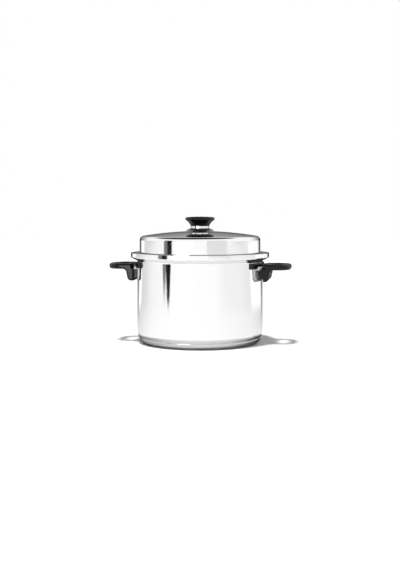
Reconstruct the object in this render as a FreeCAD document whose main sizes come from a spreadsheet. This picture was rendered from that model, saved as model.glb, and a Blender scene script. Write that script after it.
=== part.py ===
import FreeCAD, Part
import math
import os

import Sketcher

# A covered stockpot: a deep stainless pot with a bonded base, two loop handles on welded
# brackets, and a high dome cover with a turning, vented knob.
# Millimetres, +Z up, origin at the centre of the base's resting face, handles along +X and -X.

Vector = FreeCAD.Vector
UP = Vector(0, 0, 1)
PAST = 0.5  # how far a cut or a join runs past the faces it meets
CLOSE = 0.02  # how near an edge lies to the place it is looked for

SIZES = {
    # pot
    "pot_radius": 122.8, "wall": 1.2, "floor_height": 7.0, "corner_radius": 15.0,
    "flare_start": 160.5, "lip_start": 167.0, "lip_radius": 136.0, "lip_top": 176.0,
    "flare_lift": 0.8, "flare_round": 3.0, "lip_round": 2.6, "sheet_edge_round": 0.45,
    # bonded base
    "cap_thick": 0.95, "cap_flat_radius": 110.6, "cap_radius": 119.3, "cap_top": 11.0,
    "cap_corner": 13.0, "core_edge_radius": 116.2, "core_edge_height": 9.64,
    # cover
    "cover_radius": 118.8, "cover_wall": 1.0, "flange_radius": 132.0, "flange_root": 159.75,
    "flange_edge": 166.72, "flange_thick": 1.1, "flange_root_thick": 1.6, "dome_edge": 207.2,
    "dome_top": 217.8,
    "dome_radius": 670.0, "shoulder_round": 8.0, "flange_round": 2.0,
    "stem_hole": 2.58, "vent_hole": 1.5, "vent_pitch": 9.0,
    # vent foot and its gasket
    "gasket_radius": 12.5, "gasket_thick": 0.5, "foot_bore": 2.9, "foot_radius": 13.5,
    "foot_height": 2.9, "chamber_inner": 6.8, "chamber_outer": 11.2, "chamber_height": 1.9,
    "outlet_radius": 0.8, "outlet_height": 1.1,
    # knob
    "knob_gap": 0.3, "screw_radius": 2.5, "skirt_hub": 15.5, "skirt_radius": 27.5,
    "skirt_drop": 3.0, "skirt_edge": 0.8, "skirt_edge_round": 0.3, "neck_radius": 18.6,
    "skirt_thick": 1.9, "band_radius": 18.0, "band_wall": 1.0, "band_height": 4.5,
    "trumpet_radius": 18.2, "trumpet_curve": 24.0, "brim_radius": 28.4, "brim_rise": 11.9,
    "rim_radius": 29.2, "rim_rise": 14.4, "crown_edge": 26.9, "crown_rise": 17.5,
    "crown_top": 18.5, "crown_curve": 362.0, "brim_round": 2.2,
    "insert_radius": 5.0, "insert_height": 10.0, "insert_cap": 1.0,
    "shutter_radius": 12.0, "shutter_thick": 0.6, "shutter_gap": 0.4,
    "washer_radius": 6.0, "washer_thick": 0.5, "head_radius": 4.6, "head_height": 2.6,
    "head_chamfer": 0.8, "socket_radius": 2.2, "socket_depth": 1.0,
    # handle bracket
    "plate_thick": 1.5, "plate_angle": 49.4, "plate_bottom": 124.0, "plate_round": 9.0,
    "shelf_bottom": 145.0, "shelf_thick": 1.8, "shelf_radius": 131.0, "shelf_angle": 44.0,
    "ridge_radius": 127.6, "ridge_top": 151.2, "ridge_gap": 24.0,
    "boss_radius": 6.0, "boss_length": 7.0, "boss_height": 136.0,
    # handle grip
    "grip_top": 154.8, "grip_bottom": 144.0, "grip_tip": 179.5, "grip_half": 40.0,
    "tip_round": 28.0, "apron_start": 147.7, "apron_curve": 7.5, "apron_middle": 140.2,
    "apron_waist": 136.5, "apron_foot": 137.0, "apron_bottom": 121.4, "apron_inner": 127.6,
    "bridge_half": 23.0, "root_half": 31.0, "root_bottom": 127.0, "root_depth": 10.0,
    "collar_radius": 127.2, "collar_top": 158.2, "collar_angle": 62.0,
    "dip_half": 20.0, "dip_edge": 42.0, "dip_height": 153.5, "fit": 0.2,
    "hole_start": 142.0, "hole_end": 162.0, "hole_half": 24.0, "hole_round": 9.5,
    "edge_round": 4.4, "small_round": 1.6, "waist_round": 6.0, "foot_round": 8.0,
    "collar_round": 3.0,
    # handle screw
    "thread_radius": 2.5, "screw_length": 10.8, "thread_floor": 1.5, "screw_clear": 0.3,
    "grip_screw_head": 4.6, "grip_head_height": 3.0, "head_curve": 6.0, "head_skirt": 1.2,
    "well_radius": 1.6, "well_floor": 1.2, "well_depth": 1.4,
    "head_recess": 5.4, "recess_floor": 136.0, "lock_washer_thick": 1.0, "washer_outer": 4.6,
}


class Size:
    """A length that knows its value and the spreadsheet expression it comes from."""

    def __init__(self, value, text):
        self.value = value
        self.text = text

    def joined(self, sign, other, value):
        text = other.text if isinstance(other, Size) else repr(other)
        return Size(value, f"({self.text} {sign} {text})")

    def __add__(self, other):
        return self.joined("+", other, self.value + number(other))

    def __sub__(self, other):
        return self.joined("-", other, self.value - number(other))

    def __mul__(self, other):
        return self.joined("*", other, self.value * number(other))

    def __neg__(self):
        return Size(-self.value, f"(0 - {self.text})")


def number(size):
    return size.value if isinstance(size, Size) else size


doc = FreeCAD.newDocument("stockpot")
sheet = doc.addObject("Spreadsheet::Sheet", "Sizes")
for row, (alias, value) in enumerate(SIZES.items(), start=1):
    sheet.set(f"A{row}", alias)
    sheet.set(f"B{row}", str(value))
    sheet.setAlias(f"B{row}", alias)
doc.recompute()

nodes = []


def size(alias):
    return Size(SIZES[alias], f"Sizes.{alias}")


def bind(thing, prop, length):
    """Sets a property, from the sheet where the length comes from it."""
    if isinstance(length, Size):
        thing.setExpression(prop, length.text)
    else:
        setattr(thing, prop, length)


def new_body(name, is_node=True):
    body = doc.addObject("PartDesign::Body", name)
    body.Label = name
    if is_node:
        nodes.append(body)
    return body


def new_sketch(body, role, name):
    sketch = body.newObject("Sketcher::SketchObject", name)
    plane = [f for f in body.Origin.OriginFeatures if f.Role == role][0]
    sketch.AttachmentSupport = [(plane, "")]
    sketch.MapMode = "FlatFace"
    return sketch


def arc_between(start, end, radius):
    """The shorter arc from start to end; a positive radius has its centre on the left."""
    chord = end.sub(start)
    half = chord.Length / 2
    left = Vector(-chord.y, chord.x, 0).normalize()
    reach = math.sqrt(radius * radius - half * half)
    centre = start.add(end).multiply(0.5).add(left.multiply(math.copysign(reach, radius)))
    first, last = [math.atan2(p.y - centre.y, p.x - centre.x) for p in (start, end)]
    if radius < 0:
        first, last = last, first
    if last < first:
        last += 2 * math.pi
    return Part.ArcOfCircle(Part.Circle(centre, UP, abs(radius)), first, last)


def pin_down(sketch, edge, point, corner):
    """Holds a sketch point at its corner, each coordinate driven by the sheet."""
    for kind, axis, length in (("DistanceX", -2, corner[0]), ("DistanceY", -1, corner[1])):
        if number(length) == 0:
            sketch.addConstraint(Sketcher.Constraint("PointOnObject", edge, point, axis))
            continue
        index = sketch.addConstraint(
            Sketcher.Constraint(kind, -1, 1, edge, point, number(length)))
        if isinstance(length, Size):
            sketch.setExpression(f"Constraints[{index}]", length.text)


def outline(sketch, corners):
    """A closed outline. A corner is (across, up) or (across, up, radius of the arc that leaves it)."""
    points = [Vector(number(c[0]), number(c[1]), 0) for c in corners]
    ends = []
    for i, corner in enumerate(corners):
        start, end = points[i], points[(i + 1) % len(corners)]
        if len(corner) == 2:
            edge = sketch.addGeometry(Part.LineSegment(start, end))
            ends.append((edge, 1, 2))
            continue
        radius = corner[2]
        edge = sketch.addGeometry(arc_between(start, end, number(radius)))
        ends.append((edge, 1, 2) if number(radius) > 0 else (edge, 2, 1))
        sign = radius if number(radius) > 0 else -radius
        index = sketch.addConstraint(Sketcher.Constraint("Radius", edge, number(sign)))
        sketch.setExpression(f"Constraints[{index}]", sign.text)
    for i, (edge, first, last) in enumerate(ends):
        following = ends[(i + 1) % len(ends)]
        sketch.addConstraint(Sketcher.Constraint("Coincident", edge, last, following[0], following[1]))
        pin_down(sketch, edge, first, corners[i])


def revolve(body, name, corners, angle=360.0, kind="PartDesign::Revolution"):
    sketch = new_sketch(body, "XZ_Plane", name + "_profile")
    outline(sketch, corners)
    turned = body.newObject(kind, name)
    turned.Profile = sketch
    turned.ReferenceAxis = (sketch, ["V_Axis"])
    turned.Midplane = number(angle) < 360
    bind(turned, "Angle", angle)
    sketch.Visibility = False
    return turned


def extrude(body, name, role, corners, length, kind="PartDesign::Pad", reverse=None):
    """Pads or pockets an outline; with no reverse given it goes to both sides of its plane."""
    sketch = new_sketch(body, role, name + "_profile")
    outline(sketch, corners)
    return extrude_sketch(body, name, sketch, length, kind, reverse)


def extrude_sketch(body, name, sketch, length, kind, reverse=None):
    made = body.newObject(kind, name)
    made.Profile = sketch
    bind(made, "Length", length)
    if reverse is None:
        made.SideType = "Symmetric"
    else:
        made.Reversed = reverse
    sketch.Visibility = False
    return made


def drill(body, name, role, centre, radius, length, reverse=None, start=0,
          kind="PartDesign::Pocket"):
    """A round pocket, or pad, at a centre in the plane's own coordinates, begun start above it."""
    sketch = new_sketch(body, role, name + "_profile")
    if isinstance(start, Size):
        sketch.setExpression("AttachmentOffset.Base.z", start.text)
    middle = Vector(number(centre[0]), number(centre[1]), 0)
    edge = sketch.addGeometry(Part.Circle(middle, UP, number(radius)))
    index = sketch.addConstraint(Sketcher.Constraint("Radius", edge, number(radius)))
    if isinstance(radius, Size):
        sketch.setExpression(f"Constraints[{index}]", radius.text)
    pin_down(sketch, edge, 3, centre)
    return extrude_sketch(body, name, sketch, length, kind, reverse)


def round_edges(body, name, base, radius, wanted):
    """Fillets the edges of base for which wanted(edge) is true."""
    doc.recompute()
    names = [f"Edge{i}" for i, edge in enumerate(base.Shape.Edges, start=1)
             if not edge.Degenerated and wanted(edge)]
    if not names:
        raise RuntimeError(f"{name} found no edge to round")
    fillet = body.newObject("PartDesign::Fillet", name)
    fillet.Base = (base, names)
    bind(fillet, "Radius", radius)
    doc.recompute()
    return fillet


def ring_at(*spots):
    """True for a circular edge about Z whose radius and height match one of the spots."""

    def wanted(edge):
        if not isinstance(edge.Curve, Part.Circle):
            return False
        radius, height = edge.Curve.Radius, edge.Curve.Center.z
        return any(abs(radius - number(r)) < CLOSE and abs(height - number(z)) < CLOSE
                   for r, z in spots)

    return wanted


def edge_in(x=None, y=None, z=None, exact=True):
    """True for an edge whose box spans these ranges, or lies inside them if not exact."""
    spans = [("X", x), ("Y", y), ("Z", z)]
    spans = [(axis, number(pair[0]), number(pair[1])) for axis, pair in spans if pair]

    def wanted(edge):
        for axis, low, high in spans:
            at_low = getattr(edge.BoundBox, axis + "Min") - low
            at_high = high - getattr(edge.BoundBox, axis + "Max")
            if min(at_low, at_high) < -CLOSE or (exact and max(at_low, at_high) > CLOSE):
                return False
        return True

    return wanted


def is_upright(edge):
    """True for a straight vertical edge."""
    box = edge.BoundBox
    return box.ZLength > PAST and box.XLength + box.YLength < CLOSE


def removed(feature, before):
    """Stops the build when a cut took nothing away."""
    doc.recompute()
    if feature.Shape.Volume > before - CLOSE:
        raise RuntimeError(f"{feature.Name} cut nothing")


# ---- pot ----

pot_radius, wall = size("pot_radius"), size("wall")
floor_height, corner_radius = size("floor_height"), size("corner_radius")
lip_radius, lip_top, lip_start = size("lip_radius"), size("lip_top"), size("lip_start")
flare_start, flare_lift = size("flare_start"), size("flare_lift")


def make_pot_shell():
    body = new_body("pot_shell")
    corner_in = pot_radius - corner_radius
    corner_up = floor_height + corner_radius
    shell = revolve(body, "sheet", [
        (0, floor_height),
        (corner_in, floor_height, corner_radius),
        (pot_radius, corner_up),
        (pot_radius, flare_start),
        (lip_radius, lip_start),
        (lip_radius, lip_top),
        (lip_radius - wall, lip_top),
        (lip_radius - wall, lip_start + flare_lift),
        (pot_radius - wall, flare_start + flare_lift),
        (pot_radius - wall, corner_up, -(corner_radius - wall)),
        (corner_in, floor_height + wall),
        (0, floor_height + wall),
    ])
    flare = round_edges(body, "flare_bend", shell, size("flare_round"), ring_at(
        (pot_radius, flare_start), (pot_radius - wall, flare_start + flare_lift)))
    lip = round_edges(body, "lip_bend", flare, size("lip_round"), ring_at(
        (lip_radius, lip_start), (lip_radius - wall, lip_start + flare_lift)))
    round_edges(body, "lip_edge", lip, size("sheet_edge_round"), ring_at(
        (lip_radius, lip_top), (lip_radius - wall, lip_top)))


def make_base():
    """An aluminium core under the pot's floor, held by a stainless cap."""
    cap_flat, cap_radius, cap_top = size("cap_flat_radius"), size("cap_radius"), size("cap_top")
    core_edge, core_up = size("core_edge_radius"), size("core_edge_height")
    thick, cap_corner = size("cap_thick"), size("cap_corner")
    corner_in = pot_radius - corner_radius
    rise = corner_radius - (cap_top - floor_height)
    reach = Size(math.sqrt(corner_radius.value ** 2 - rise.value ** 2),
                 f"sqrt({corner_radius.text} ^ 2 - {rise.text} ^ 2)")
    core = new_body("base_core")
    revolve(core, "disc", [
        (0, thick), (cap_flat, thick, cap_corner), (core_edge, core_up, -corner_radius),
        (corner_in, floor_height), (0, floor_height)])
    cap = new_body("base_cap")
    revolve(cap, "cup", [
        (0, 0), (cap_flat, 0, cap_corner), (cap_radius, cap_top),
        (corner_in + reach, cap_top, -corner_radius), (core_edge, core_up, -cap_corner),
        (cap_flat, thick), (0, thick)])


# ---- cover ----

cover_radius, cover_wall = size("cover_radius"), size("cover_wall")
dome_top, stem_hole = size("dome_top"), size("stem_hole")
vent_pitch, vent_hole = size("vent_pitch"), size("vent_hole")


def vent_holes(body, base, along_x, depth):
    """Two holes across the axis, through a piece that lies above the floor plane."""
    for side in (1, -1):
        place = vent_pitch if side > 0 else -vent_pitch
        centre = (place, 0) if along_x else (0, place)
        hole = drill(body, f"vent_{'a' if side > 0 else 'b'}", "XY_Plane", centre, vent_hole,
                     depth, True)
        removed(hole, base.Shape.Volume)
        base = hole
    return base


def make_cover_shell():
    body = new_body("cover_shell")
    flange, flange_thick = size("flange_radius"), size("flange_thick")
    flange_edge, flange_root = size("flange_edge"), size("flange_root")
    dome_edge, dome_radius = size("dome_edge"), size("dome_radius")
    inner = cover_radius - cover_wall
    root_top = flange_root + size("flange_root_thick")
    shell = revolve(body, "sheet", [
        (inner, flange_root),
        (flange, flange_edge),
        (flange, flange_edge + flange_thick),
        (cover_radius, root_top),
        (cover_radius, dome_edge, dome_radius),
        (stem_hole, dome_top),
        (stem_hole, dome_top - cover_wall, -(dome_radius - cover_wall)),
        (inner, dome_edge - cover_wall),
    ])
    shoulder = round_edges(body, "shoulder", shell, size("shoulder_round"), ring_at(
        (cover_radius, dome_edge)))
    inside = round_edges(body, "shoulder_inside", shoulder, size("shoulder_round") - cover_wall,
                         ring_at((inner, dome_edge - cover_wall)))
    bend = round_edges(body, "flange_bend", inside, size("flange_round"), ring_at(
        (cover_radius, root_top), (inner, flange_root)))
    edge = round_edges(body, "flange_edge", bend, size("sheet_edge_round"), ring_at(
        (flange, flange_edge), (flange, flange_edge + flange_thick)))
    vent_holes(body, edge, False, dome_top + PAST)


def make_vent_foot():
    """The low collar that the knob turns on, with a steam chamber and its side outlet."""
    bore, gasket_top = size("foot_bore"), dome_top + size("gasket_thick")
    gasket = new_body("foot_gasket")
    ring = revolve(gasket, "ring", [
        (bore, dome_top), (size("gasket_radius"), dome_top),
        (size("gasket_radius"), gasket_top), (bore, gasket_top)])
    doc.recompute()
    vent_holes(gasket, ring, False, gasket_top + PAST)
    foot = new_body("vent_foot")
    foot_top = gasket_top + size("foot_height")
    chamber_top = gasket_top + size("chamber_height")
    collar = revolve(foot, "collar", [
        (bore, gasket_top), (size("chamber_inner"), gasket_top),
        (size("chamber_inner"), chamber_top), (size("chamber_outer"), chamber_top),
        (size("chamber_outer"), gasket_top), (size("foot_radius"), gasket_top),
        (size("foot_radius"), foot_top), (bore, foot_top)])
    edge = round_edges(foot, "collar_edge", collar, size("sheet_edge_round"), ring_at(
        (size("foot_radius"), foot_top)))
    outlet = drill(foot, "outlet", "XZ_Plane", (0, gasket_top + size("outlet_height")),
                   size("outlet_radius"), size("foot_radius") + PAST, False)
    removed(outlet, edge.Shape.Volume)


# ---- knob ----

knob_base = dome_top + size("gasket_thick") + size("foot_height") + size("knob_gap")
band_base = knob_base + size("skirt_thick")
trumpet_base = band_base + size("band_height")
screw_radius = size("screw_radius")
shutter_top = dome_top - cover_wall - size("shutter_gap")
shutter_bottom = shutter_top - size("shutter_thick")
washer_bottom = shutter_bottom - size("washer_thick")


def make_knob():
    skirt_out, drop, edge = size("skirt_radius"), size("skirt_drop"), size("skirt_edge")
    skirt = new_body("knob_skirt")
    flare = revolve(skirt, "flange", [
        (screw_radius, knob_base), (size("skirt_hub"), knob_base),
        (skirt_out, knob_base - drop), (skirt_out, knob_base - drop + edge),
        (size("neck_radius"), band_base), (screw_radius, band_base)])
    round_edges(skirt, "flange_edge", flare, size("skirt_edge_round"), ring_at(
        (skirt_out, knob_base - drop), (skirt_out, knob_base - drop + edge)))

    band_out, band_wall = size("band_radius"), size("band_wall")
    band = new_body("knob_band")
    revolve(band, "cup", [
        (band_out - band_wall, band_base), (band_out, band_base), (band_out, trumpet_base),
        (screw_radius, trumpet_base), (screw_radius, trumpet_base - band_wall),
        (band_out - band_wall, trumpet_base - band_wall)])

    insert_top = trumpet_base + size("insert_height")
    brim, rim, crown = size("brim_radius"), size("rim_radius"), size("crown_edge")
    top = new_body("knob_top")
    trumpet = revolve(top, "trumpet", [
        (size("insert_radius"), trumpet_base),
        (size("trumpet_radius"), trumpet_base, -size("trumpet_curve")),
        (brim, trumpet_base + size("brim_rise")),
        (rim, trumpet_base + size("rim_rise")),
        (crown, trumpet_base + size("crown_rise"), size("crown_curve")),
        (0, trumpet_base + size("crown_top")),
        (0, insert_top), (size("insert_radius"), insert_top)])
    round_edges(top, "brim_edge", trumpet, size("brim_round"), ring_at(
        (brim, trumpet_base + size("brim_rise")), (rim, trumpet_base + size("rim_rise")),
        (crown, trumpet_base + size("crown_rise"))))

    screw_top = insert_top - size("insert_cap")
    insert = new_body("knob_insert")
    revolve(insert, "bush", [
        (screw_radius, trumpet_base), (size("insert_radius"), trumpet_base),
        (size("insert_radius"), insert_top), (0, insert_top),
        (0, screw_top), (screw_radius, screw_top)])

    screw = new_body("knob_screw")
    head, head_bottom = size("head_radius"), washer_bottom - size("head_height")
    socket, socket_floor = size("socket_radius"), head_bottom + size("socket_depth")
    chamfer = size("head_chamfer")
    revolve(screw, "screw", [
        (0, socket_floor), (socket, socket_floor), (socket, head_bottom),
        (head - chamfer, head_bottom), (head, head_bottom + chamfer), (head, washer_bottom),
        (screw_radius, washer_bottom), (screw_radius, screw_top), (0, screw_top)])

    washer = new_body("wave_washer")
    revolve(washer, "ring", [
        (screw_radius, washer_bottom), (size("washer_radius"), washer_bottom),
        (size("washer_radius"), shutter_bottom), (screw_radius, shutter_bottom)])

    shutter = new_body("vent_shutter")
    disc = revolve(shutter, "disc", [
        (screw_radius, shutter_bottom), (size("shutter_radius"), shutter_bottom),
        (size("shutter_radius"), shutter_top), (screw_radius, shutter_top)])
    doc.recompute()
    vent_holes(shutter, disc, True, shutter_top + PAST)


# ---- handles ----

plate_out = pot_radius + size("plate_thick")
boss_height, boss_radius = size("boss_height"), size("boss_radius")
boss_end, thread_radius = plate_out + size("boss_length"), size("thread_radius")
shelf_bottom, shelf_top = size("shelf_bottom"), size("shelf_bottom") + size("shelf_thick")
fit = size("fit")


def make_bracket(name):
    """A curved plate welded to the wall, with a shelf on top and a raised ridge at each end."""
    body = new_body(name)
    plate = revolve(body, "plate", [
        (pot_radius, size("plate_bottom")), (plate_out, size("plate_bottom")),
        (plate_out, shelf_top), (pot_radius, shelf_top)], size("plate_angle"))
    at_bottom = edge_in(z=(size("plate_bottom"), size("plate_bottom")))
    round_edges(body, "plate_corners", plate, size("plate_round"), lambda edge: (
        at_bottom(edge) and isinstance(edge.Curve, Part.Line)))
    shelf_inner = pot_radius + PAST
    revolve(body, "shelf", [
        (shelf_inner, shelf_bottom), (size("shelf_radius"), shelf_bottom),
        (size("shelf_radius"), shelf_top), (size("ridge_radius"), size("ridge_top")),
        (size("ridge_radius"), shelf_top), (shelf_inner, shelf_top)], size("shelf_angle"))
    doc.recompute()
    before = body.Tip.Shape.Volume
    gap_half, gap_top = size("ridge_gap"), size("ridge_top") + PAST
    gap = extrude(body, "ridge_gap", "YZ_Plane", [
        (-gap_half, shelf_top), (gap_half, shelf_top), (gap_half, gap_top), (-gap_half, gap_top)],
        size("shelf_radius") + PAST, "PartDesign::Pocket", True)
    removed(gap, before)
    return body


def make_grip(name):
    """The moulded loop: a slab with a finger hole, an apron under it, a root and a collar."""
    body = new_body(name)
    top, bottom, tip = size("grip_top"), size("grip_bottom"), size("grip_tip")
    half, inner = size("grip_half"), size("apron_inner")
    waist, foot = size("apron_middle"), size("apron_foot")
    apron_start, apron_bottom = size("apron_start"), size("apron_bottom")
    shelf_clear = size("shelf_radius") + fit
    under_shelf, over_shelf = shelf_bottom - fit, shelf_top + fit
    slab = extrude(body, "slab", "XZ_Plane", [
        (shelf_clear, top), (tip, top), (tip, bottom),
        (apron_start, bottom, size("apron_curve")),
        (waist, size("apron_waist")), (foot, apron_bottom),
        (inner, apron_bottom), (inner, under_shelf), (shelf_clear, under_shelf)],
        half * 2)
    tip_bend = round_edges(body, "tip_bend", slab, size("tip_round"), edge_in(
        x=(tip, tip), z=(bottom, top)))
    waist_bend = round_edges(body, "waist_bend", tip_bend, size("waist_round"), edge_in(
        x=(waist, waist), y=(-half, half)))
    foot_bend = round_edges(body, "foot_bend", waist_bend, size("foot_round"), edge_in(
        x=(foot, foot), y=(-half, half)))
    lower = {"x": (inner, tip), "z": (apron_bottom, bottom), "exact": False}
    sides = edge_in(y=(half, half), **lower), edge_in(y=(-half, -half), **lower)
    rims = (edge_in(x=(apron_start + PAST, tip), z=(bottom, bottom), exact=False),
            edge_in(x=(shelf_clear, tip), z=(top, top), exact=False))
    edges = round_edges(body, "slab_edges", foot_bend, size("edge_round"), lambda edge: (
        edge.BoundBox.XMax > number(shelf_clear) + PAST
        and any(wanted(edge) for wanted in sides + rims)))
    hole_half = size("hole_half")
    hole = extrude(body, "finger_hole", "XY_Plane", [
        (size("hole_start"), -hole_half), (size("hole_end"), -hole_half),
        (size("hole_end"), hole_half), (size("hole_start"), hole_half)],
        top + PAST, "PartDesign::Pocket", True)
    removed(hole, edges.Shape.Volume)
    hole_bend = round_edges(body, "hole_corners", hole, size("hole_round"), lambda edge: (
        is_upright(edge) and abs(abs(edge.BoundBox.YMin) - number(hole_half)) < CLOSE))
    hole_rim = edge_in(x=(size("hole_start"), size("hole_end")), y=(-hole_half, hole_half),
                       z=(top, top), exact=False)
    round_edges(body, "hole_edge", hole_bend, size("small_round"), hole_rim)

    root_half, bridge_half = size("root_half"), size("bridge_half")
    root_start, root_end = pot_radius - size("root_depth"), inner + PAST
    extrude(body, "root", "XZ_Plane", [
        (root_start, size("root_bottom")), (root_end, size("root_bottom")),
        (root_end, under_shelf), (root_start, under_shelf)], root_half * 2)
    bridge_end = shelf_clear + PAST
    extrude(body, "bridge", "XZ_Plane", [
        (pot_radius, over_shelf), (bridge_end, over_shelf),
        (bridge_end, top), (pot_radius, top)], bridge_half * 2)
    collar_out, collar_top = size("collar_radius"), size("collar_top")
    revolve(body, "collar", [
        (pot_radius, over_shelf), (collar_out, over_shelf),
        (collar_out, collar_top), (pot_radius, collar_top)], size("collar_angle"))
    doc.recompute()
    before = body.Tip.Shape.Volume
    dip_half, dip_edge, dip_height = size("dip_half"), size("dip_edge"), size("dip_height")
    dip = extrude(body, "collar_dip", "YZ_Plane", [
        (-dip_half, dip_height), (dip_half, dip_height), (dip_edge, collar_top + PAST),
        (-dip_edge, collar_top + PAST)], collar_out + PAST, "PartDesign::Pocket", True)
    removed(dip, before)
    wall_clear, plate_clear = pot_radius + fit, plate_out + fit
    groove = revolve(body, "wall_clearance", [
        (0, apron_bottom), (plate_clear, apron_bottom), (plate_clear, over_shelf),
        (wall_clear, over_shelf), (wall_clear, collar_top + PAST),
        (0, collar_top + PAST)], kind="PartDesign::Groove")
    removed(groove, dip.Shape.Volume)

    boss_bore = drill(body, "boss_bore", "YZ_Plane", (0, boss_height), boss_radius + fit,
                      boss_end + fit, True)
    removed(boss_bore, groove.Shape.Volume)
    screw_bore = drill(body, "screw_bore", "YZ_Plane", (0, boss_height),
                       thread_radius + size("screw_clear"), tip, True)
    removed(screw_bore, boss_bore.Shape.Volume)
    recess = drill(body, "head_recess", "YZ_Plane", (0, boss_height), size("head_recess"),
                   tip, True, start=size("recess_floor"))
    removed(recess, screw_bore.Shape.Volume)
    ends = round_edges(body, "collar_ends", recess, size("collar_round"), lambda edge: (
        is_upright(edge) and abs(edge.BoundBox.YMin) > number(dip_edge)
        and math.hypot(edge.BoundBox.XMin, edge.BoundBox.YMin) > number(collar_out) - CLOSE))
    small_round = size("small_round")
    round_edges(body, "collar_rim", ends, small_round, lambda edge: (
        edge.BoundBox.ZMin > number(collar_top) - CLOSE
        and math.hypot(edge.CenterOfMass.x, edge.CenterOfMass.y) > number(collar_out - small_round)))
    return body


def make_boss(name):
    """A threaded boss welded to the bracket's plate."""
    body = new_body(name, False)
    disc = drill(body, "disc", "YZ_Plane", (0, boss_height), boss_radius, boss_end - pot_radius,
                 False, start=pot_radius, kind="PartDesign::Pad")
    doc.recompute()
    low, high = boss_height - boss_radius - PAST, boss_height + boss_radius + PAST
    groove = revolve(body, "plate_face", [
        (0, low), (plate_out, low), (plate_out, high), (0, high)], kind="PartDesign::Groove")
    removed(groove, disc.Shape.Volume)
    thread = drill(body, "thread", "YZ_Plane", (0, boss_height), thread_radius,
                   size("screw_length"), True, start=plate_out + size("thread_floor"))
    removed(thread, groove.Shape.Volume)
    return body


def make_handle_screw(name):
    """A round-head screw with a driver's well, lying along the handle's middle."""
    body = new_body(name, False)
    head, seat = size("grip_screw_head"), size("lock_washer_thick")
    head_top, end = seat + size("grip_head_height"), seat - size("screw_length")
    well_floor = head_top - size("well_depth")
    revolve(body, "screw", [
        (0, end), (thread_radius, end), (thread_radius, seat), (head, seat),
        (head, seat + size("head_skirt"), size("head_curve")), (size("well_radius"), head_top),
        (size("well_floor"), well_floor), (0, well_floor)])
    return body


def make_lock_washer(name):
    body = new_body(name, False)
    outer, thick = size("washer_outer"), size("lock_washer_thick")
    revolve(body, "ring", [(thread_radius, 0), (outer, 0), (outer, thick), (thread_radius, thick)])
    return body


def lay_along_handle(body, side):
    """Turns a piece made about Z to lie along a handle, its zero at the recess's floor."""
    body.setExpression("Placement.Base.x", f"{side} * Sizes.recess_floor")
    body.setExpression("Placement.Base.z", "Sizes.boss_height")
    body.Placement.Rotation = FreeCAD.Rotation(Vector(0, 1, 0), 90 * side)


def make_handles():
    for side, word in ((1, "right"), (-1, "left")):
        turn = FreeCAD.Rotation(UP, 0 if side > 0 else 180)
        for make, node in ((make_bracket, "handle_bracket"), (make_grip, "handle_grip")):
            make(f"{node}_{word}").Placement.Rotation = turn
    for make, node in ((make_handle_screw, "handle_screws"),
                       (make_lock_washer, "handle_lock_washers"), (make_boss, "handle_bosses")):
        pair = []
        for side, word in ((1, "right"), (-1, "left")):
            piece = make(f"{node}_{word}")
            if make is make_boss:
                piece.Placement.Rotation = FreeCAD.Rotation(UP, 0 if side > 0 else 180)
            else:
                lay_along_handle(piece, side)
            pair.append(piece)
        group = doc.addObject("Part::Compound", node)
        group.Label = node
        group.Links = pair
        nodes.append(group)


def check_and_write():
    doc.recompute()
    for thing in doc.Objects:
        if "Invalid" in thing.State or "Error" in thing.State:
            raise RuntimeError(f"{thing.Label} failed: {thing.State}")
    os.makedirs("parts", exist_ok=True)
    for node in nodes:
        shape = node.Shape
        if shape.isNull() or not shape.isValid() or not shape.Solids:
            raise RuntimeError(f"{node.Label} has no valid solid")
        shape.exportStep(f"parts/{node.Label}.step")
        print(node.Label, round(shape.Volume), len(shape.Solids))


make_pot_shell()
make_base()
make_cover_shell()
make_vent_foot()
make_knob()
make_handles()
check_and_write()
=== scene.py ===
import math

import bmesh
import bpy
from mathutils import Matrix, Vector


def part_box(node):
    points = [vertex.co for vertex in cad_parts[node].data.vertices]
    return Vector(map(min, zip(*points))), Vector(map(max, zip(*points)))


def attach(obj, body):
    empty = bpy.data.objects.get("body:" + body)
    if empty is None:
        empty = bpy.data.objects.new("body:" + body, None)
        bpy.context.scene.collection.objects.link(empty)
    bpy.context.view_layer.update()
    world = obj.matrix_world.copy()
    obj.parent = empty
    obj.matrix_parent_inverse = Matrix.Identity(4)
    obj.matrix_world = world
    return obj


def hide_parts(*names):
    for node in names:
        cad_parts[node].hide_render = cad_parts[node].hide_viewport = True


# A covered stainless stockpot with black phenolic handles, on a pale studio floor.
# Metres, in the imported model's frame: +Z up, handles along +X and -X, the front at -Y.

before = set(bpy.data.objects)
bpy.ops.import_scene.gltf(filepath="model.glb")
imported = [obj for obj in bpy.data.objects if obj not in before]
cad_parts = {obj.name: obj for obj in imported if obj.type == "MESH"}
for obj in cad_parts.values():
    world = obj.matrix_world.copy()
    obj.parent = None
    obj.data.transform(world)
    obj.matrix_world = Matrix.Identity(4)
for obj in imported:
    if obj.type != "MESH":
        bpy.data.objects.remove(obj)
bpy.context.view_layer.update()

MM = 0.001
TURN_STEPS = 256        # facets round the pot's axis
SMALL_STEPS = 96        # facets round the knob's pieces
BEND_STEPS = 8          # facets across a rounded corner
ARC_STEPS = 16          # facets along a larger curve
CAP_STEPS = 12
CROWN_STEPS = 8
DOME_STEPS = 24
SOFT_STEPS = 2          # facets across a softened hard edge
SHARP_ANGLE = math.radians(32)
FLAT_ANGLE = math.radians(0.6)
WELD = 1e-6             # points this near in metres are one


# ---- driving sizes, read from the frame in millimetres ----

def box_mm(node):
    low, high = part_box(node)
    return low / MM, high / MM


pot_low, pot_high = box_mm("pot_shell")
cap_high = box_mm("base_cap")[1]
cover_low, cover_high = box_mm("cover_shell")
top_low, top_high = box_mm("knob_top")
skirt_low, skirt_high = box_mm("knob_skirt")
foot_low, foot_high = box_mm("vent_foot")
gasket_low, gasket_high = box_mm("foot_gasket")

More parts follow.
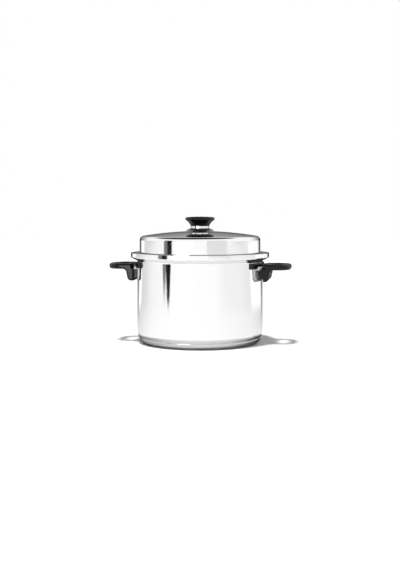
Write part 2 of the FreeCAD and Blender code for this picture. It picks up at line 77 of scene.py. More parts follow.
WALL = 1.2
LIP_RADIUS = pot_high.x
LIP_TOP = pot_high.z
FLOOR_HEIGHT = pot_low.z
POT_RADIUS = LIP_RADIUS - 13.2
CORNER = 15.0
FLARE_START = LIP_TOP - 15.5
LIP_START = LIP_TOP - 9.0
FLARE_LIFT = 0.8
FLARE_BEND = 3.0
LIP_BEND = 2.6
LIP_EDGE = 0.55

CAP_RADIUS = cap_high.x
CAP_TOP = cap_high.z
CAP_FLAT = CAP_RADIUS - 8.7
CAP_WALL = 0.95
CAP_CURVE = 13.0
CAP_EDGE = 0.35
CAP_LIP = 1.4           # how far the cap's edge is turned in
CAP_LIP_DEPTH = 1.3

COVER_WALL = 1.0
COVER_RADIUS = POT_RADIUS - 4.0
DOME_TOP = cover_high.z
DOME_EDGE = DOME_TOP - 10.6
DOME_CURVE = 670.0
SHOULDER = 8.0
SHOULDER_RISE = 1.45    # how far the dome climbs across the shoulder
FLANGE_RADIUS = cover_high.x
FLANGE_ROOT = cover_low.z
FLANGE_RISE = 6.97
FLANGE_THICK = 1.1
FLANGE_ROOT_THICK = 1.6
FLANGE_BEND = 2.0
FLANGE_EDGE = 0.5
STEM_HOLE = 2.58

FOOT_BORE = 2.9
SCREW_RADIUS = 2.5
SMALL_EDGE = 0.3        # rounding of a turned or moulded edge
HUB_RADIUS = 15.5
NECK_RADIUS = 18.6
NECK_EDGE = 0.5
SKIRT_DROP = 3.0
SKIRT_EDGE = 0.8
BAND_WALL = 1.0
INSERT_RADIUS = 5.0
TRUMPET_RADIUS = 18.2
TRUMPET_CURVE = 24.0
RIM_RADIUS = 29.2
BRIM_RADIUS = RIM_RADIUS - 0.8
CROWN_RADIUS = RIM_RADIUS - 2.3
CROWN_FLAT = RIM_RADIUS - 5.0
BRIM_RISE = 11.9
RIM_RISE = 14.4
CROWN_RISE = 17.5
CROWN_FLAT_RISE = 17.7
RIM_BEND = 2.2
CROWN_CURVE = 362.0

GRIP_EDGE = 0.5
BRACKET_EDGE = 0.3


# ---- outlines ----

def arc(start, end, radius, steps):
    """Points of the shorter arc from start to end; a positive radius has its centre on the left."""
    a, b = Vector(start), Vector(end)
    chord = b - a
    left = Vector((-chord.y, chord.x)).normalized()
    reach = math.sqrt(radius * radius - chord.length_squared / 4)
    centre = (a + b) / 2 + left * math.copysign(reach, radius)
    spread = 2 * math.asin(chord.length / 2 / abs(radius)) * (1 if radius > 0 else -1)
    turns = [Matrix.Rotation(spread * i / steps, 2) for i in range(steps + 1)]
    return [tuple(centre + turn @ (a - centre)) for turn in turns]


def bend_offset(before, corner, after, radius):
    """How far from a corner its rounding begins."""
    first, second = Vector(corner) - Vector(before), Vector(after) - Vector(corner)
    return radius * math.tan(first.angle(second) / 2)


def lathe(corners, steps, ring=False):
    """A mesh turned about the vertical axis. A corner is (radius, height) in millimetres,
    with the radius of its rounding as a third number where it has one. A ring's outline closes
    on itself; any other begins and ends at its own corners."""
    bm = bmesh.new()
    verts = [bm.verts.new((c[0] * MM, 0, c[1] * MM)) for c in corners]
    pairs = list(zip(verts, verts[1:])) + ([(verts[-1], verts[0])] if ring else [])
    for pair in pairs:
        bm.edges.new(pair)
    count = len(corners)
    for i, corner in enumerate(corners):
        if len(corner) < 3:
            continue
        before, after = corners[i - 1][:2], corners[(i + 1) % count][:2]
        offset = bend_offset(before, corner[:2], after, corner[2])
        bmesh.ops.bevel(bm, geom=[verts[i]], affect="VERTICES", segments=BEND_STEPS, profile=0.5,
                        material=-1, offset=offset * MM)
    bmesh.ops.spin(bm, geom=bm.verts[:] + bm.edges[:], cent=(0, 0, 0), axis=(0, 0, 1),
                   angle=math.tau, steps=steps, use_merge=True)
    bmesh.ops.remove_doubles(bm, verts=bm.verts, dist=WELD)
    bmesh.ops.recalc_face_normals(bm, faces=bm.faces)
    return bm


# ---- materials ----

def linear(hex_colour):
    """An sRGB hex colour as linear red, green, blue and alpha."""
    values = [int(hex_colour[i:i + 2], 16) / 255 for i in (1, 3, 5)]
    return [v / 12.92 if v <= 0.04045 else ((v + 0.055) / 1.055) ** 2.4 for v in values] + [1]


def grey(level):
    return level, level, level, 1


def add_node(tree, kind, settings=None, inputs=None, links=None, stops=None):
    """Adds a node, sets its properties and sockets, and links other nodes' sockets to it. A
    colour ramp also takes stops, each a position with a grey level or a hex colour. A colour
    Mix node shares its sockets' names with its plain ones, so those go by their place."""
    node = tree.nodes.new(kind)
    for key, value in (settings or {}).items():
        setattr(node, key, value)
    for key, value in (inputs or {}).items():
        node.inputs[key].default_value = value
    for key, socket in (links or {}).items():
        tree.links.new(socket, node.inputs[key])
    for i, (position, level) in enumerate(stops or []):
        elements = node.color_ramp.elements
        element = elements[i] if i < 2 else elements.new(position)
        element.position = position
        element.color = linear(level) if isinstance(level, str) else grey(level)
    return node


def new_material(name, colour, **sockets):
    """A material with a Principled shader, whose named sockets are set."""
    material = bpy.data.materials.new(name)
    material.use_nodes = True
    shader = material.node_tree.nodes["Principled BSDF"]
    shader.inputs["Base Color"].default_value = linear(colour)
    for key, value in sockets.items():
        shader.inputs[key.replace("_", " ")].default_value = value
    return material, material.node_tree, shader


def place(tree, scale=(1, 1, 1)):
    """Object coordinates, scaled."""
    coordinates = add_node(tree, "ShaderNodeTexCoord")
    return add_node(tree, "ShaderNodeMapping", inputs={"Scale": scale},
                    links={"Vector": coordinates.outputs["Object"]}).outputs["Vector"]


def radius_and_height(tree):
    """The distance from the vertical axis, and the height, in metres."""
    coordinates = add_node(tree, "ShaderNodeTexCoord").outputs["Object"]
    parts = add_node(tree, "ShaderNodeSeparateXYZ", links={"Vector": coordinates})
    flat = add_node(tree, "ShaderNodeCombineXYZ", links={
        "X": parts.outputs["X"], "Y": parts.outputs["Y"]})
    length = add_node(tree, "ShaderNodeVectorMath", {"operation": "LENGTH"}, links={
        0: flat.outputs["Vector"]})
    return length.outputs["Value"], parts.outputs["Z"]


def turned_lines(tree, spacing_mm):
    """Fine rings left by polishing or turning on a spindle, as a value from noise over radius and
    height, so they run round the axis on walls and as circles on flats."""
    radius, height = radius_and_height(tree)
    along = add_node(tree, "ShaderNodeCombineXYZ", links={"X": radius, "Y": height})
    return add_node(tree, "ShaderNodeTexNoise", {"noise_dimensions": "2D"}, {
        "Scale": 1 / (spacing_mm * MM), "Detail": 3.0, "Roughness": 0.6},
        {"Vector": along.outputs["Vector"]}).outputs["Fac"]


def polished_stainless():
    """Stainless steel sheet, drawn and mirror polished: a bright neutral mirror whose reflections
    waver a little over the drawn sheet and smear along fine polishing rings."""
    material, tree, shader = new_material(
        "polished_stainless_steel", "#e5e5e5", Metallic=1.0, Roughness=0.05)
    rings = turned_lines(tree, 0.6)
    haze = add_node(tree, "ShaderNodeTexNoise", inputs={"Scale": 1 / (45 * MM), "Detail": 4.0},
                    links={"Vector": place(tree)}).outputs["Fac"]
    blend = add_node(tree, "ShaderNodeMath", {"operation": "MULTIPLY"}, links={0: rings, 1: haze})
    dull = add_node(tree, "ShaderNodeValToRGB", links={"Fac": blend.outputs["Value"]},
                    stops=[(0.1, 0.045), (0.45, 0.12)])
    tree.links.new(dull.outputs["Color"], shader.inputs["Roughness"])
    waver = add_node(tree, "ShaderNodeTexNoise", inputs={"Scale": 1 / (110 * MM), "Detail": 1.0},
                     links={"Vector": place(tree, (1, 1, 0.45))})
    sheet = add_node(tree, "ShaderNodeBump", inputs={"Strength": 0.12, "Distance": 0.5 * MM},
                     links={"Height": waver.outputs["Fac"]})
    lines = add_node(tree, "ShaderNodeBump", inputs={"Strength": 0.05, "Distance": 0.01 * MM},
                     links={"Height": rings, "Normal": sheet.outputs["Normal"]})
    tree.links.new(lines.outputs["Normal"], shader.inputs["Normal"])
    return material


def satin_stainless(name, colour, low, high):
    """Stainless steel left satin by the finishing wheel: greyer and softer, with fine rings."""
    material, tree, shader = new_material(name, colour, Metallic=1.0, Roughness=0.3)
    rings = turned_lines(tree, 0.5)
    dull = add_node(tree, "ShaderNodeValToRGB", links={"Fac": rings},
                    stops=[(0.3, low), (0.7, high)])
    tree.links.new(dull.outputs["Color"], shader.inputs["Roughness"])
    lines = add_node(tree, "ShaderNodeBump", inputs={"Strength": 0.12, "Distance": 0.02 * MM},
                     links={"Height": rings})
    tree.links.new(lines.outputs["Normal"], shader.inputs["Normal"])
    return material


def black_phenolic():
    """Compression-moulded black phenolic: a deep, hard, semi-gloss black with a faint filler
    mottle and a slight orange-peel skin."""
    material, tree, shader = new_material(
        "black_phenolic", "#080808", Roughness=0.25, IOR=1.36, Specular_IOR_Level=0.4)
    filler = add_node(tree, "ShaderNodeTexNoise", inputs={"Scale": 1 / (1.1 * MM), "Detail": 3.0},
                      links={"Vector": place(tree)})
    mottle = add_node(tree, "ShaderNodeValToRGB", links={"Fac": filler.outputs["Fac"]},
                      stops=[(0.35, "#060606"), (0.75, "#0c0b0b")])
    tree.links.new(mottle.outputs["Color"], shader.inputs["Base Color"])
    wear = add_node(tree, "ShaderNodeTexNoise", inputs={"Scale": 1 / (16 * MM), "Detail": 5.0},
                    links={"Vector": place(tree)})
    dull = add_node(tree, "ShaderNodeValToRGB", links={"Fac": wear.outputs["Fac"]},
                    stops=[(0.3, 0.21), (0.75, 0.29)])
    tree.links.new(dull.outputs["Color"], shader.inputs["Roughness"])
    peel = add_node(tree, "ShaderNodeTexNoise", inputs={"Scale": 1 / (2.4 * MM), "Detail": 2.0},
                    links={"Vector": place(tree)})
    skin = add_node(tree, "ShaderNodeBump", inputs={"Strength": 0.04, "Distance": 0.05 * MM},
                    links={"Height": peel.outputs["Fac"]})
    tree.links.new(skin.outputs["Normal"], shader.inputs["Normal"])
    return material


def marked(name, colour, grain_mm, low, high, strength, **sockets):
    """A plain material whose roughness and surface vary with one fine grain."""
    material, tree, shader = new_material(name, colour, Roughness=low, **sockets)
    marks = add_node(tree, "ShaderNodeTexNoise", inputs={
        "Scale": 1 / (grain_mm * MM), "Detail": 3.0}, links={
        "Vector": place(tree)}).outputs["Fac"]
    dull = add_node(tree, "ShaderNodeValToRGB", links={"Fac": marks},
                    stops=[(0.3, low), (0.7, high)])
    tree.links.new(dull.outputs["Color"], shader.inputs["Roughness"])
    dents = add_node(tree, "ShaderNodeBump", inputs={"Strength": strength, "Distance": 0.02 * MM},
                     links={"Height": marks})
    tree.links.new(dents.outputs["Normal"], shader.inputs["Normal"])
    return material


MIRROR = polished_stainless()
INSIDE = satin_stainless("satin_stainless_inside", "#c7c7c7", 0.36, 0.48)
SATIN = satin_stainless("satin_stainless_steel", "#d6d6d6", 0.4, 0.52)
VENT = satin_stainless("vent_steel", "#8d8d8d", 0.24, 0.36)
PHENOLIC = black_phenolic()
SILICONE = marked("moulded_silicone", "#1d1d1e", 1.4, 0.5, 0.7, 0.15, IOR=1.41,
                  Sheen_Weight=0.2)
BRASS = marked("turned_brass", "#c8a25c", 3.3, 0.24, 0.39, 0.08, Metallic=1.0)
ALUMINIUM = marked("aluminium_core", "#cfd0d2", 3.3, 0.28, 0.45, 0.08, Metallic=1.0)
SCREW = marked("turned_steel", "#a9a9a9", 3.3, 0.2, 0.33, 0.08, Metallic=1.0)


# ---- pieces ----

def add_piece(name, bm, materials, body, nodes):
    """Makes a mesh a smooth-shaded piece that stands for CAD nodes and rides on their body."""
    mesh = bpy.data.meshes.new(name)
    bm.to_mesh(mesh)
    bm.free()
    for polygon in mesh.polygons:
        polygon.use_smooth = True
    mesh.set_sharp_from_angle(angle=SHARP_ANGLE)
    for material in materials:
        mesh.materials.append(material)
    piece = bpy.data.objects.new(name, mesh)
    bpy.context.scene.collection.objects.link(piece)
    normals = piece.modifiers.new("weighted_normals", "WEIGHTED_NORMAL")
    normals.keep_sharp = True
    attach(piece, body)
    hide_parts(*nodes)
    return piece


def paint_inside(bm):
    """Gives the faces that look at the axis, or up from the floor, the second material."""
    inwards, upwards = -0.2, 0.7
    for face in bm.faces:
        centre = face.calc_center_median()
        outward = Vector((centre.x, centre.y, 0)).normalized()
        inner_wall = face.normal.dot(outward) < inwards
        floor = face.normal.z > upwards and centre.z < (FLOOR_HEIGHT + CORNER) * MM
        face.material_index = 1 if inner_wall or floor else 0


def make_pot():
    inner = POT_RADIUS - WALL
    corner_in, corner_up = POT_RADIUS - CORNER, FLOOR_HEIGHT + CORNER
    bm = lathe([
        (0, FLOOR_HEIGHT),
        *arc((corner_in, FLOOR_HEIGHT), (POT_RADIUS, corner_up), CORNER, ARC_STEPS),
        (POT_RADIUS, FLARE_START, FLARE_BEND),
        (LIP_RADIUS, LIP_START, LIP_BEND),
        (LIP_RADIUS, LIP_TOP, LIP_EDGE),
        (LIP_RADIUS - WALL, LIP_TOP, LIP_EDGE),
        (LIP_RADIUS - WALL, LIP_START + FLARE_LIFT, LIP_BEND),
        (inner, FLARE_START + FLARE_LIFT, FLARE_BEND),
        *arc((inner, corner_up), (corner_in, FLOOR_HEIGHT + WALL), WALL - CORNER, ARC_STEPS),
        (0, FLOOR_HEIGHT + WALL),
    ], TURN_STEPS)
    paint_inside(bm)
    add_piece("pot", bm, [MIRROR, INSIDE], "pot", ["pot_shell"])


def make_base_cap():
    lift = math.sqrt(CORNER ** 2 - (CORNER + FLOOR_HEIGHT - CAP_TOP) ** 2)
    tuck = POT_RADIUS - CORNER + lift
    outer = arc((CAP_FLAT, 0), (CAP_RADIUS, CAP_TOP), CAP_CURVE, CAP_STEPS)
    bm = lathe([
        (0, 0), *outer[:-1], (CAP_RADIUS, CAP_TOP, CAP_EDGE), (tuck, CAP_TOP),
        (tuck - CAP_LIP, CAP_TOP - CAP_LIP_DEPTH), (CAP_FLAT, CAP_WALL), (0, CAP_WALL),
    ], TURN_STEPS)
    add_piece("base_cover", bm, [MIRROR], "pot", ["base_cap"])


def make_cover():
    inner = COVER_RADIUS - COVER_WALL
    flange_edge = FLANGE_ROOT + FLANGE_RISE
    dome_foot, dome_start = COVER_RADIUS - SHOULDER, DOME_EDGE + SHOULDER_RISE
    bm = lathe([
        (inner, FLANGE_ROOT, FLANGE_BEND),
        (FLANGE_RADIUS, flange_edge, FLANGE_EDGE),
        (FLANGE_RADIUS, flange_edge + FLANGE_THICK, FLANGE_EDGE),
        (COVER_RADIUS, FLANGE_ROOT + FLANGE_ROOT_THICK, FLANGE_BEND),
        (COVER_RADIUS, DOME_EDGE, SHOULDER),
        *arc((dome_foot, dome_start), (STEM_HOLE, DOME_TOP), DOME_CURVE, DOME_STEPS),
        *arc((STEM_HOLE, DOME_TOP - COVER_WALL), (dome_foot, dome_start - COVER_WALL),
             COVER_WALL - DOME_CURVE, DOME_STEPS),
        (inner, DOME_EDGE - COVER_WALL, SHOULDER - COVER_WALL),
    ], TURN_STEPS, ring=True)
    add_piece("cover", bm, [MIRROR], "cover", ["cover_shell"])


def make_vent_foot():
    radius, bottom, top = foot_high.x, foot_low.z, foot_high.z
    bm = lathe([(FOOT_BORE, bottom), (radius, bottom, SMALL_EDGE), (radius, top, 2 * SMALL_EDGE),
                (FOOT_BORE, top)], SMALL_STEPS, ring=True)
    add_piece("vent_collar", bm, [VENT], "cover", ["vent_foot"])
    bm = lathe([(FOOT_BORE, gasket_low.z), (gasket_high.x, gasket_low.z),
                (gasket_high.x, gasket_high.z), (FOOT_BORE, gasket_high.z)],
               SMALL_STEPS, ring=True)
    add_piece("collar_gasket", bm, [SILICONE], "cover", ["foot_gasket"])


def make_knob():
    brim, low, high = skirt_high.x, skirt_low.z, skirt_high.z
    hub = low + SKIRT_DROP
    bm = lathe([
        (SCREW_RADIUS, hub), (HUB_RADIUS, hub), (brim, low, SMALL_EDGE),
        (brim, low + SKIRT_EDGE, SMALL_EDGE), (NECK_RADIUS, high, NECK_EDGE), (SCREW_RADIUS, high),
    ], SMALL_STEPS, ring=True)
    add_piece("knob_flange", bm, [PHENOLIC], "knob", ["knob_skirt"])

    band_low, band_high = box_mm("knob_band")
    band, under = band_high.x, band_high.z - BAND_WALL
    bm = lathe([
        (band - BAND_WALL, band_low.z), (band, band_low.z, SMALL_EDGE),
        (band, band_high.z, SMALL_EDGE), (SCREW_RADIUS, band_high.z), (SCREW_RADIUS, under),
        (band - BAND_WALL, under)], SMALL_STEPS, ring=True)
    add_piece("knob_ring", bm, [MIRROR], "knob", ["knob_band"])

    base, crown = top_low.z, top_high.z
    trumpet = arc((TRUMPET_RADIUS, base), (BRIM_RADIUS, base + BRIM_RISE), -TRUMPET_CURVE,
                  ARC_STEPS)
    bm = lathe([
        (INSERT_RADIUS, base), *trumpet[:-1], (*trumpet[-1], RIM_BEND),
        (RIM_RADIUS, base + RIM_RISE, RIM_BEND), (CROWN_RADIUS, base + CROWN_RISE, RIM_BEND),
        *arc((CROWN_FLAT, base + CROWN_FLAT_RISE), (0, crown), CROWN_CURVE, CROWN_STEPS),
    ], SMALL_STEPS)
    add_piece("knob_grip", bm, [PHENOLIC], "knob", ["knob_top"])


def refine(name, node, material, body, edge_mm):
    """A CAD piece with its flat facets joined up, its hard edges softened and smooth shading."""
    bm = bmesh.new()
    bm.from_mesh(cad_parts[node].data)
    bmesh.ops.remove_doubles(bm, verts=bm.verts, dist=WELD)
    bmesh.ops.dissolve_limit(bm, angle_limit=FLAT_ANGLE, verts=bm.verts, edges=bm.edges)
    piece = add_piece(name, bm, [material], body, [node])
    bevel = piece.modifiers.new("soft_edges", "BEVEL")
    bevel.width = edge_mm * MM
    bevel.segments = SOFT_STEPS
    bevel.limit_method = "ANGLE"
    bevel.angle_limit = SHARP_ANGLE
    piece.modifiers.move(1, 0)      # the edges are softened before the normals are weighted


def make_handles():
    for word in ("right", "left"):
        refine(f"grip_{word}", f"handle_grip_{word}", PHENOLIC, "pot",
               GRIP_EDGE)
        refine(f"bracket_{word}", f"handle_bracket_{word}", SATIN, "pot",
               BRACKET_EDGE)


def paint_nodes():
    """Materials for the CAD pieces that are shown as they are."""
    finishes = {
        "base_core": ALUMINIUM, "handle_bosses": SATIN, "handle_screws": SCREW,
        "handle_lock_washers": SCREW, "knob_insert": BRASS, "knob_screw": SCREW,
        "wave_washer": SCREW, "vent_shutter": VENT,
    }
    for node, material in finishes.items():
        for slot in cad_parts[node].material_slots:
            slot.material = material


# ---- studio ----

CAMERA_TURN = math.radians(9)
CAMERA_DISTANCE = 1.83
CAMERA_HEIGHT = 0.262
CAMERA_DROP = 0.134     # how far the level camera's view is shifted down, in picture heights
CAMERA_LENS = 58.7
FORWARD = Vector((-math.sin(CAMERA_TURN), math.cos(CAMERA_TURN), 0))
RIGHT = Vector((math.cos(CAMERA_TURN), math.sin(CAMERA_TURN), 0))
UP = Vector((0, 0, 1))


def make_camera():
    data = bpy.data.cameras.new("camera")
    data.lens = CAMERA_LENS
    data.sensor_width = 36
    data.shift_y = -CAMERA_DROP
    data.clip_start = 0.05
    camera = bpy.data.objects.new("camera", data)
    bpy.context.scene.collection.objects.link(camera)
    camera.location = -FORWARD * CAMERA_DISTANCE + UP * CAMERA_HEIGHT
    camera.rotation_mode = "QUATERNION"
    camera.rotation_quaternion = FORWARD.to_track_quat("-Z", "Y")
    bpy.context.scene.camera = camera


CLOSE_ZONE = 0.125, 0.19    # where the floor passes from the painted shadow round the pot's foot to the part round it
FAR_ZONE = 0.55, 0.95       # and from there to the part further off
BACK_ZONE = 0.45, 0.88      # cosines from straight behind the pot, where the dark part begins
CEILING_ZONE = 0.79, 0.87   # cosines from the middle of the dark ceiling
HORIZON_ZONE = 0.0, 0.08    # heights between the low part of the room and the rest
CEILING_AIM = (UP + FORWARD * 0.25 - RIGHT * 0.1).normalized()
ROOM_LEVEL = 1.2        # how bright the white studio is in the steel's reflections
CEILING_LEVEL = 0.04
FILL_LEVEL = 0.36       # the soft light that reaches into the key lamp's shadows
FLOOR_REACH = 6.0
PAPER = "#f2f2f2"
TAPER_SHARE = 0.3       # how much of a tapered card's width is left at its foot
KEY_ENERGY = 3.45
KEY_ANGLE = math.radians(7)
KEY_AIM = RIGHT * 0.098 + FORWARD * 0.17 - UP

# the colour sockets of a Mix node, by their place
FACTOR, FIRST, SECOND, MIXED = 0, 6, 7, 2


def bearing(tree, vector):
    """Where a direction or a place lies round the pot, as 0 to 1: 0.5 is the camera's side,
    more is further round to the right, and both ends are straight behind."""
    ahead = add_node(tree, "ShaderNodeVectorMath", {"operation": "DOT_PRODUCT"},
                     {1: -FORWARD}, {0: vector}).outputs["Value"]
    aside = add_node(tree, "ShaderNodeVectorMath", {"operation": "DOT_PRODUCT"},
                     {1: RIGHT}, {0: vector}).outputs["Value"]
    turn = add_node(tree, "ShaderNodeMath", {"operation": "ARCTAN2"}, links={0: aside, 1: ahead})
    return add_node(tree, "ShaderNodeMapRange", inputs={
        "From Min": -math.pi, "From Max": math.pi}, links={
        "Value": turn.outputs["Value"]}).outputs["Result"]


def round_pot(*stops):
    """Colour ramp stops by bearing, from pairs of degrees from the camera's side and level."""
    return [((turn + 180) / 360, level) for turn, level in stops]


def make_floor():
    """A white paper sweep, plain white to the camera. What the steel reflects of it is painted
    shade:
    dimmer beside and behind the pot, where the lamps fall off, than in front, with a painted
    contact shadow close round the pot's foot."""
    bm = bmesh.new()
    bmesh.ops.create_grid(bm, x_segments=1, y_segments=1, size=FLOOR_REACH)
    mesh = bpy.data.meshes.new("studio_floor")
    bm.to_mesh(mesh)
    bm.free()
    material, tree, shader = new_material(
        "white_paper", PAPER, Roughness=0.9, Specular_IOR_Level=0.1)
    here = place(tree)
    where = bearing(tree, here)
    # painted light falloff near the pot: dimmer beside and behind it than in front
    near = add_node(tree, "ShaderNodeValToRGB", links={"Fac": where}, stops=round_pot(
        (-180, 0.05), (-155, 0.1), (-148, 0.3), (-140, 0.6), (-120, 0.76), (-100, 0.88),
        (-80, 0.98), (-60, 1.0), (20, 1.0), (45, 0.96), (75, 0.92), (100, 0.86), (120, 0.76),
        (140, 0.6), (148, 0.3), (155, 0.1), (180, 0.05)))
    # painted light falloff further off, with painted brighter and darker patches beside the pot
    far = add_node(tree, "ShaderNodeValToRGB", links={"Fac": where}, stops=round_pot(
        (-180, 0.05), (-153, 0.06), (-146, 0.6), (-140, 1.05), (-131, 1.0), (-126, 0.66),
        (-112, 0.74), (-95, 0.9), (-75, 0.96), (-55, 1.0), (25, 1.0), (45, 0.9), (75, 0.88),
        (98, 0.8), (104, 1.05), (136, 1.05), (146, 0.5), (153, 0.06), (180, 0.05)))
    # painted contact shadow close round the pot's foot, darkest beside and behind it
    close = add_node(tree, "ShaderNodeValToRGB", links={"Fac": where}, stops=round_pot(
        (-180, 0.1), (-90, 0.12), (-60, 0.3), (-30, 0.55), (0, 0.62), (30, 0.55), (60, 0.3),
        (90, 0.12), (180, 0.1)))
    distance = add_node(tree, "ShaderNodeVectorMath", {"operation": "LENGTH"}, links={
        0: here}).outputs["Value"]
    outer = add_node(tree, "ShaderNodeMapRange", {"interpolation_type": "SMOOTHSTEP"}, {
        "From Min": FAR_ZONE[0], "From Max": FAR_ZONE[1]}, {"Value": distance})
    inner = add_node(tree, "ShaderNodeMapRange", {"interpolation_type": "SMOOTHSTEP"}, {
        "From Min": CLOSE_ZONE[0], "From Max": CLOSE_ZONE[1]}, {"Value": distance})
    beyond = add_node(tree, "ShaderNodeMix", {"data_type": "RGBA"}, links={
        FACTOR: outer.outputs["Result"], FIRST: near.outputs["Color"],
        SECOND: far.outputs["Color"]})
    painted_floor_shade = add_node(tree, "ShaderNodeMix", {"data_type": "RGBA"}, links={
        FACTOR: inner.outputs["Result"], FIRST: close.outputs["Color"],
        SECOND: beyond.outputs[MIXED]})
    # camera rays see plain white paper; every other ray sees the painted shade
    rays = add_node(tree, "ShaderNodeLightPath")
    shade = add_node(tree, "ShaderNodeMix", {"data_type": "RGBA"}, {SECOND: grey(1.0)}, {
        FACTOR: rays.outputs["Is Camera Ray"], FIRST: painted_floor_shade.outputs[MIXED]})
    paper = add_node(tree, "ShaderNodeMix", {"data_type": "RGBA", "blend_type": "MULTIPLY"}, {
        FACTOR: 1.0, SECOND: linear(PAPER)}, {FIRST: shade.outputs[MIXED]})
    tree.links.new(paper.outputs[MIXED], shader.inputs["Base Color"])
    mesh.materials.append(material)
    floor = bpy.data.objects.new("studio_floor", mesh)
    bpy.context.scene.collection.objects.link(floor)


def make_card(name, turn_deg, distance, width, height, lift, level, fade=None, taper=None):
    """A flat card facing the pot, seen only in reflections. Its turn is from the camera's side,
    positive to the right, and level is its brightness. With fade, its brightness goes from the
    room's to its own between two heights. With taper, it narrows to its foot over that height."""
    turn = math.radians(turn_deg)
    outward = -FORWARD * math.cos(turn) + RIGHT * math.sin(turn)
    bm = bmesh.new()
    bmesh.ops.create_grid(bm, x_segments=1, y_segments=2, size=0.5)
    bmesh.ops.scale(bm, verts=bm.verts, vec=(width, height, 1))
    for vert in bm.verts if taper else []:
        if abs(vert.co.y) < MM:
            vert.co.y = taper - height / 2
        elif vert.co.y < 0:
            vert.co.x *= TAPER_SHARE
    facing = (-outward).to_track_quat("Z", "Y").to_matrix().to_4x4()
    where = Matrix.Translation(outward * distance + UP * (lift + height / 2))
    bmesh.ops.transform(bm, matrix=where @ facing, verts=bm.verts)
    mesh = bpy.data.meshes.new(name)
    bm.to_mesh(mesh)
    bm.free()
    material = bpy.data.materials.new(name)
    material.use_nodes = True
    tree = material.node_tree
    tree.nodes.clear()
    glow = add_node(tree, "ShaderNodeEmission", inputs={
        "Color": grey(level), "Strength": 1.0})
    if fade:
        height_here = add_node(tree, "ShaderNodeSeparateXYZ", links={
            "Vector": place(tree)}).outputs["Z"]
        shown = add_node(tree, "ShaderNodeMapRange", {"interpolation_type": "SMOOTHSTEP"}, {
            "From Min": fade[0], "From Max": fade[1], "To Min": ROOM_LEVEL, "To Max": level},
            {"Value": height_here}).outputs["Result"]
        tree.links.new(shown, glow.inputs["Color"])
    add_node(tree, "ShaderNodeOutputMaterial", links={"Surface": glow.outputs["Emission"]})
    mesh.materials.append(material)
    card = bpy.data.objects.new(name, mesh)
    bpy.context.scene.collection.objects.link(card)
    card.visible_camera = False
    card.visible_diffuse = False
    card.visible_shadow = False


def make_key_light():
    """One small overhead lamp, a little to the front left, for crisp shadows under the handles."""
    data = bpy.data.lights.new("key", "SUN")
    data.energy = KEY_ENERGY
    data.angle = KEY_ANGLE
    light = bpy.data.objects.new("key", data)
    bpy.context.scene.collection.objects.link(light)
    light.rotation_mode = "QUATERNION"
    light.rotation_quaternion = KEY_AIM.to_track_quat("-Z", "Y")
    light.visible_glossy = False


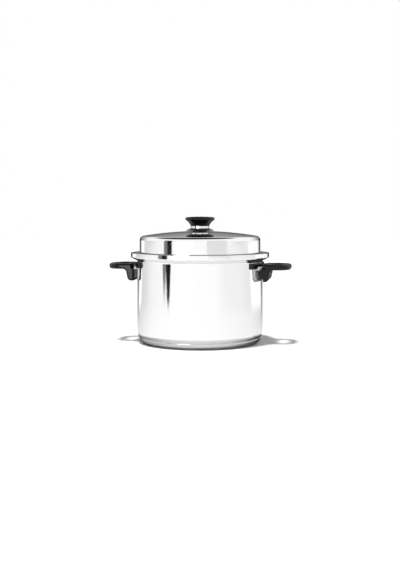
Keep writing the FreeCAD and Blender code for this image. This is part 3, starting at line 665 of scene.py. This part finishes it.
def make_world():
    """A white studio in front, a darker one behind and overhead, and a plain white backdrop."""
    world = bpy.data.worlds.new("studio")
    bpy.context.scene.world = world
    world.use_nodes = True
    tree = world.node_tree
    tree.nodes.clear()
    direction = add_node(tree, "ShaderNodeTexCoord").outputs["Generated"]
    height = add_node(tree, "ShaderNodeSeparateXYZ", links={"Vector": direction}).outputs["Z"]
    ahead = add_node(tree, "ShaderNodeVectorMath", {"operation": "DOT_PRODUCT"},
                     {1: FORWARD}, {0: direction}).outputs["Value"]
    back = add_node(tree, "ShaderNodeValToRGB", links={"Fac": height}, stops=[
        (0.0, 0.03), (0.05, 0.06), (0.1, 0.15), (0.2, 0.27), (0.3, 0.36), (0.38, 0.5), (0.5, 1.0)])
    share = add_node(tree, "ShaderNodeMapRange", inputs={
        "From Min": BACK_ZONE[0], "From Max": BACK_ZONE[1]}, links={"Value": ahead})
    walls = add_node(tree, "ShaderNodeMix", {"data_type": "RGBA"}, {FIRST: grey(ROOM_LEVEL)}, {
        FACTOR: share.outputs["Result"], SECOND: back.outputs["Color"]})
    overhead = add_node(tree, "ShaderNodeVectorMath", {"operation": "DOT_PRODUCT"},
                        {1: CEILING_AIM}, {0: direction})
    hole = add_node(tree, "ShaderNodeMapRange", {"interpolation_type": "SMOOTHSTEP"}, {
        "From Min": CEILING_ZONE[0], "From Max": CEILING_ZONE[1]}, {
        "Value": overhead.outputs["Value"]})
    upper = add_node(tree, "ShaderNodeMix", {"data_type": "RGBA"}, {
        SECOND: grey(CEILING_LEVEL)}, {
        FACTOR: hole.outputs["Result"], FIRST: walls.outputs[MIXED]})
    lower = add_node(tree, "ShaderNodeValToRGB", links={"Fac": bearing(tree, direction)},
                     stops=round_pot(
        (-180, 0.03), (-153, 0.06), (-146, 0.3), (-136, 0.62), (-122, 0.86), (-106, 0.84),
        (-95, 1.0), (-82, 1.15), (-60, 1.2), (52, 1.2), (64, 1.08), (76, 0.95), (84, 0.9),
        (96, 1.08), (112, 0.96), (130, 0.7), (144, 0.3), (153, 0.06), (180, 0.03)))
    rise = add_node(tree, "ShaderNodeMapRange", inputs={
        "From Min": HORIZON_ZONE[0], "From Max": HORIZON_ZONE[1]}, links={"Value": height})
    room = add_node(tree, "ShaderNodeMix", {"data_type": "RGBA"}, links={
        FACTOR: rise.outputs["Result"], FIRST: lower.outputs["Color"],
        SECOND: upper.outputs[MIXED]})
    rays = add_node(tree, "ShaderNodeLightPath")
    lighting = add_node(tree, "ShaderNodeMix", {"data_type": "RGBA"}, {
        FIRST: grey(FILL_LEVEL)}, {
        FACTOR: rays.outputs["Is Glossy Ray"], SECOND: room.outputs[MIXED]})
    seen = add_node(tree, "ShaderNodeMix", {"data_type": "RGBA"}, {SECOND: grey(1.0)}, {
        FACTOR: rays.outputs["Is Camera Ray"], FIRST: lighting.outputs[MIXED]})
    background = add_node(tree, "ShaderNodeBackground", links={"Color": seen.outputs[MIXED]})
    add_node(tree, "ShaderNodeOutputWorld", links={"Surface": background.outputs["Background"]})


make_pot()
make_base_cap()
make_cover()
make_vent_foot()
make_knob()
make_handles()
paint_nodes()
make_camera()
make_floor()
make_card("dark_flag_left", turn_deg=-54.3, distance=0.72, width=0.12, height=0.5, lift=0.0,
          level=0.01, fade=(0.0, 0.04), taper=0.12)
make_card("grey_flag_left", turn_deg=-62, distance=0.72, width=0.09, height=0.5, lift=0.0,
          level=0.25, fade=(0.0, 0.1), taper=0.12)
make_card("lamp_left", turn_deg=-29, distance=1.07, width=0.42, height=0.22, lift=0.0, level=7.5)
make_card("pale_panel_right", turn_deg=30, distance=0.9, width=0.6, height=0.6, lift=0.13,
          level=0.95)
make_key_light()
make_world()

scene = bpy.context.scene
scene.view_settings.view_transform = "Standard"
scene.view_settings.look = "None"
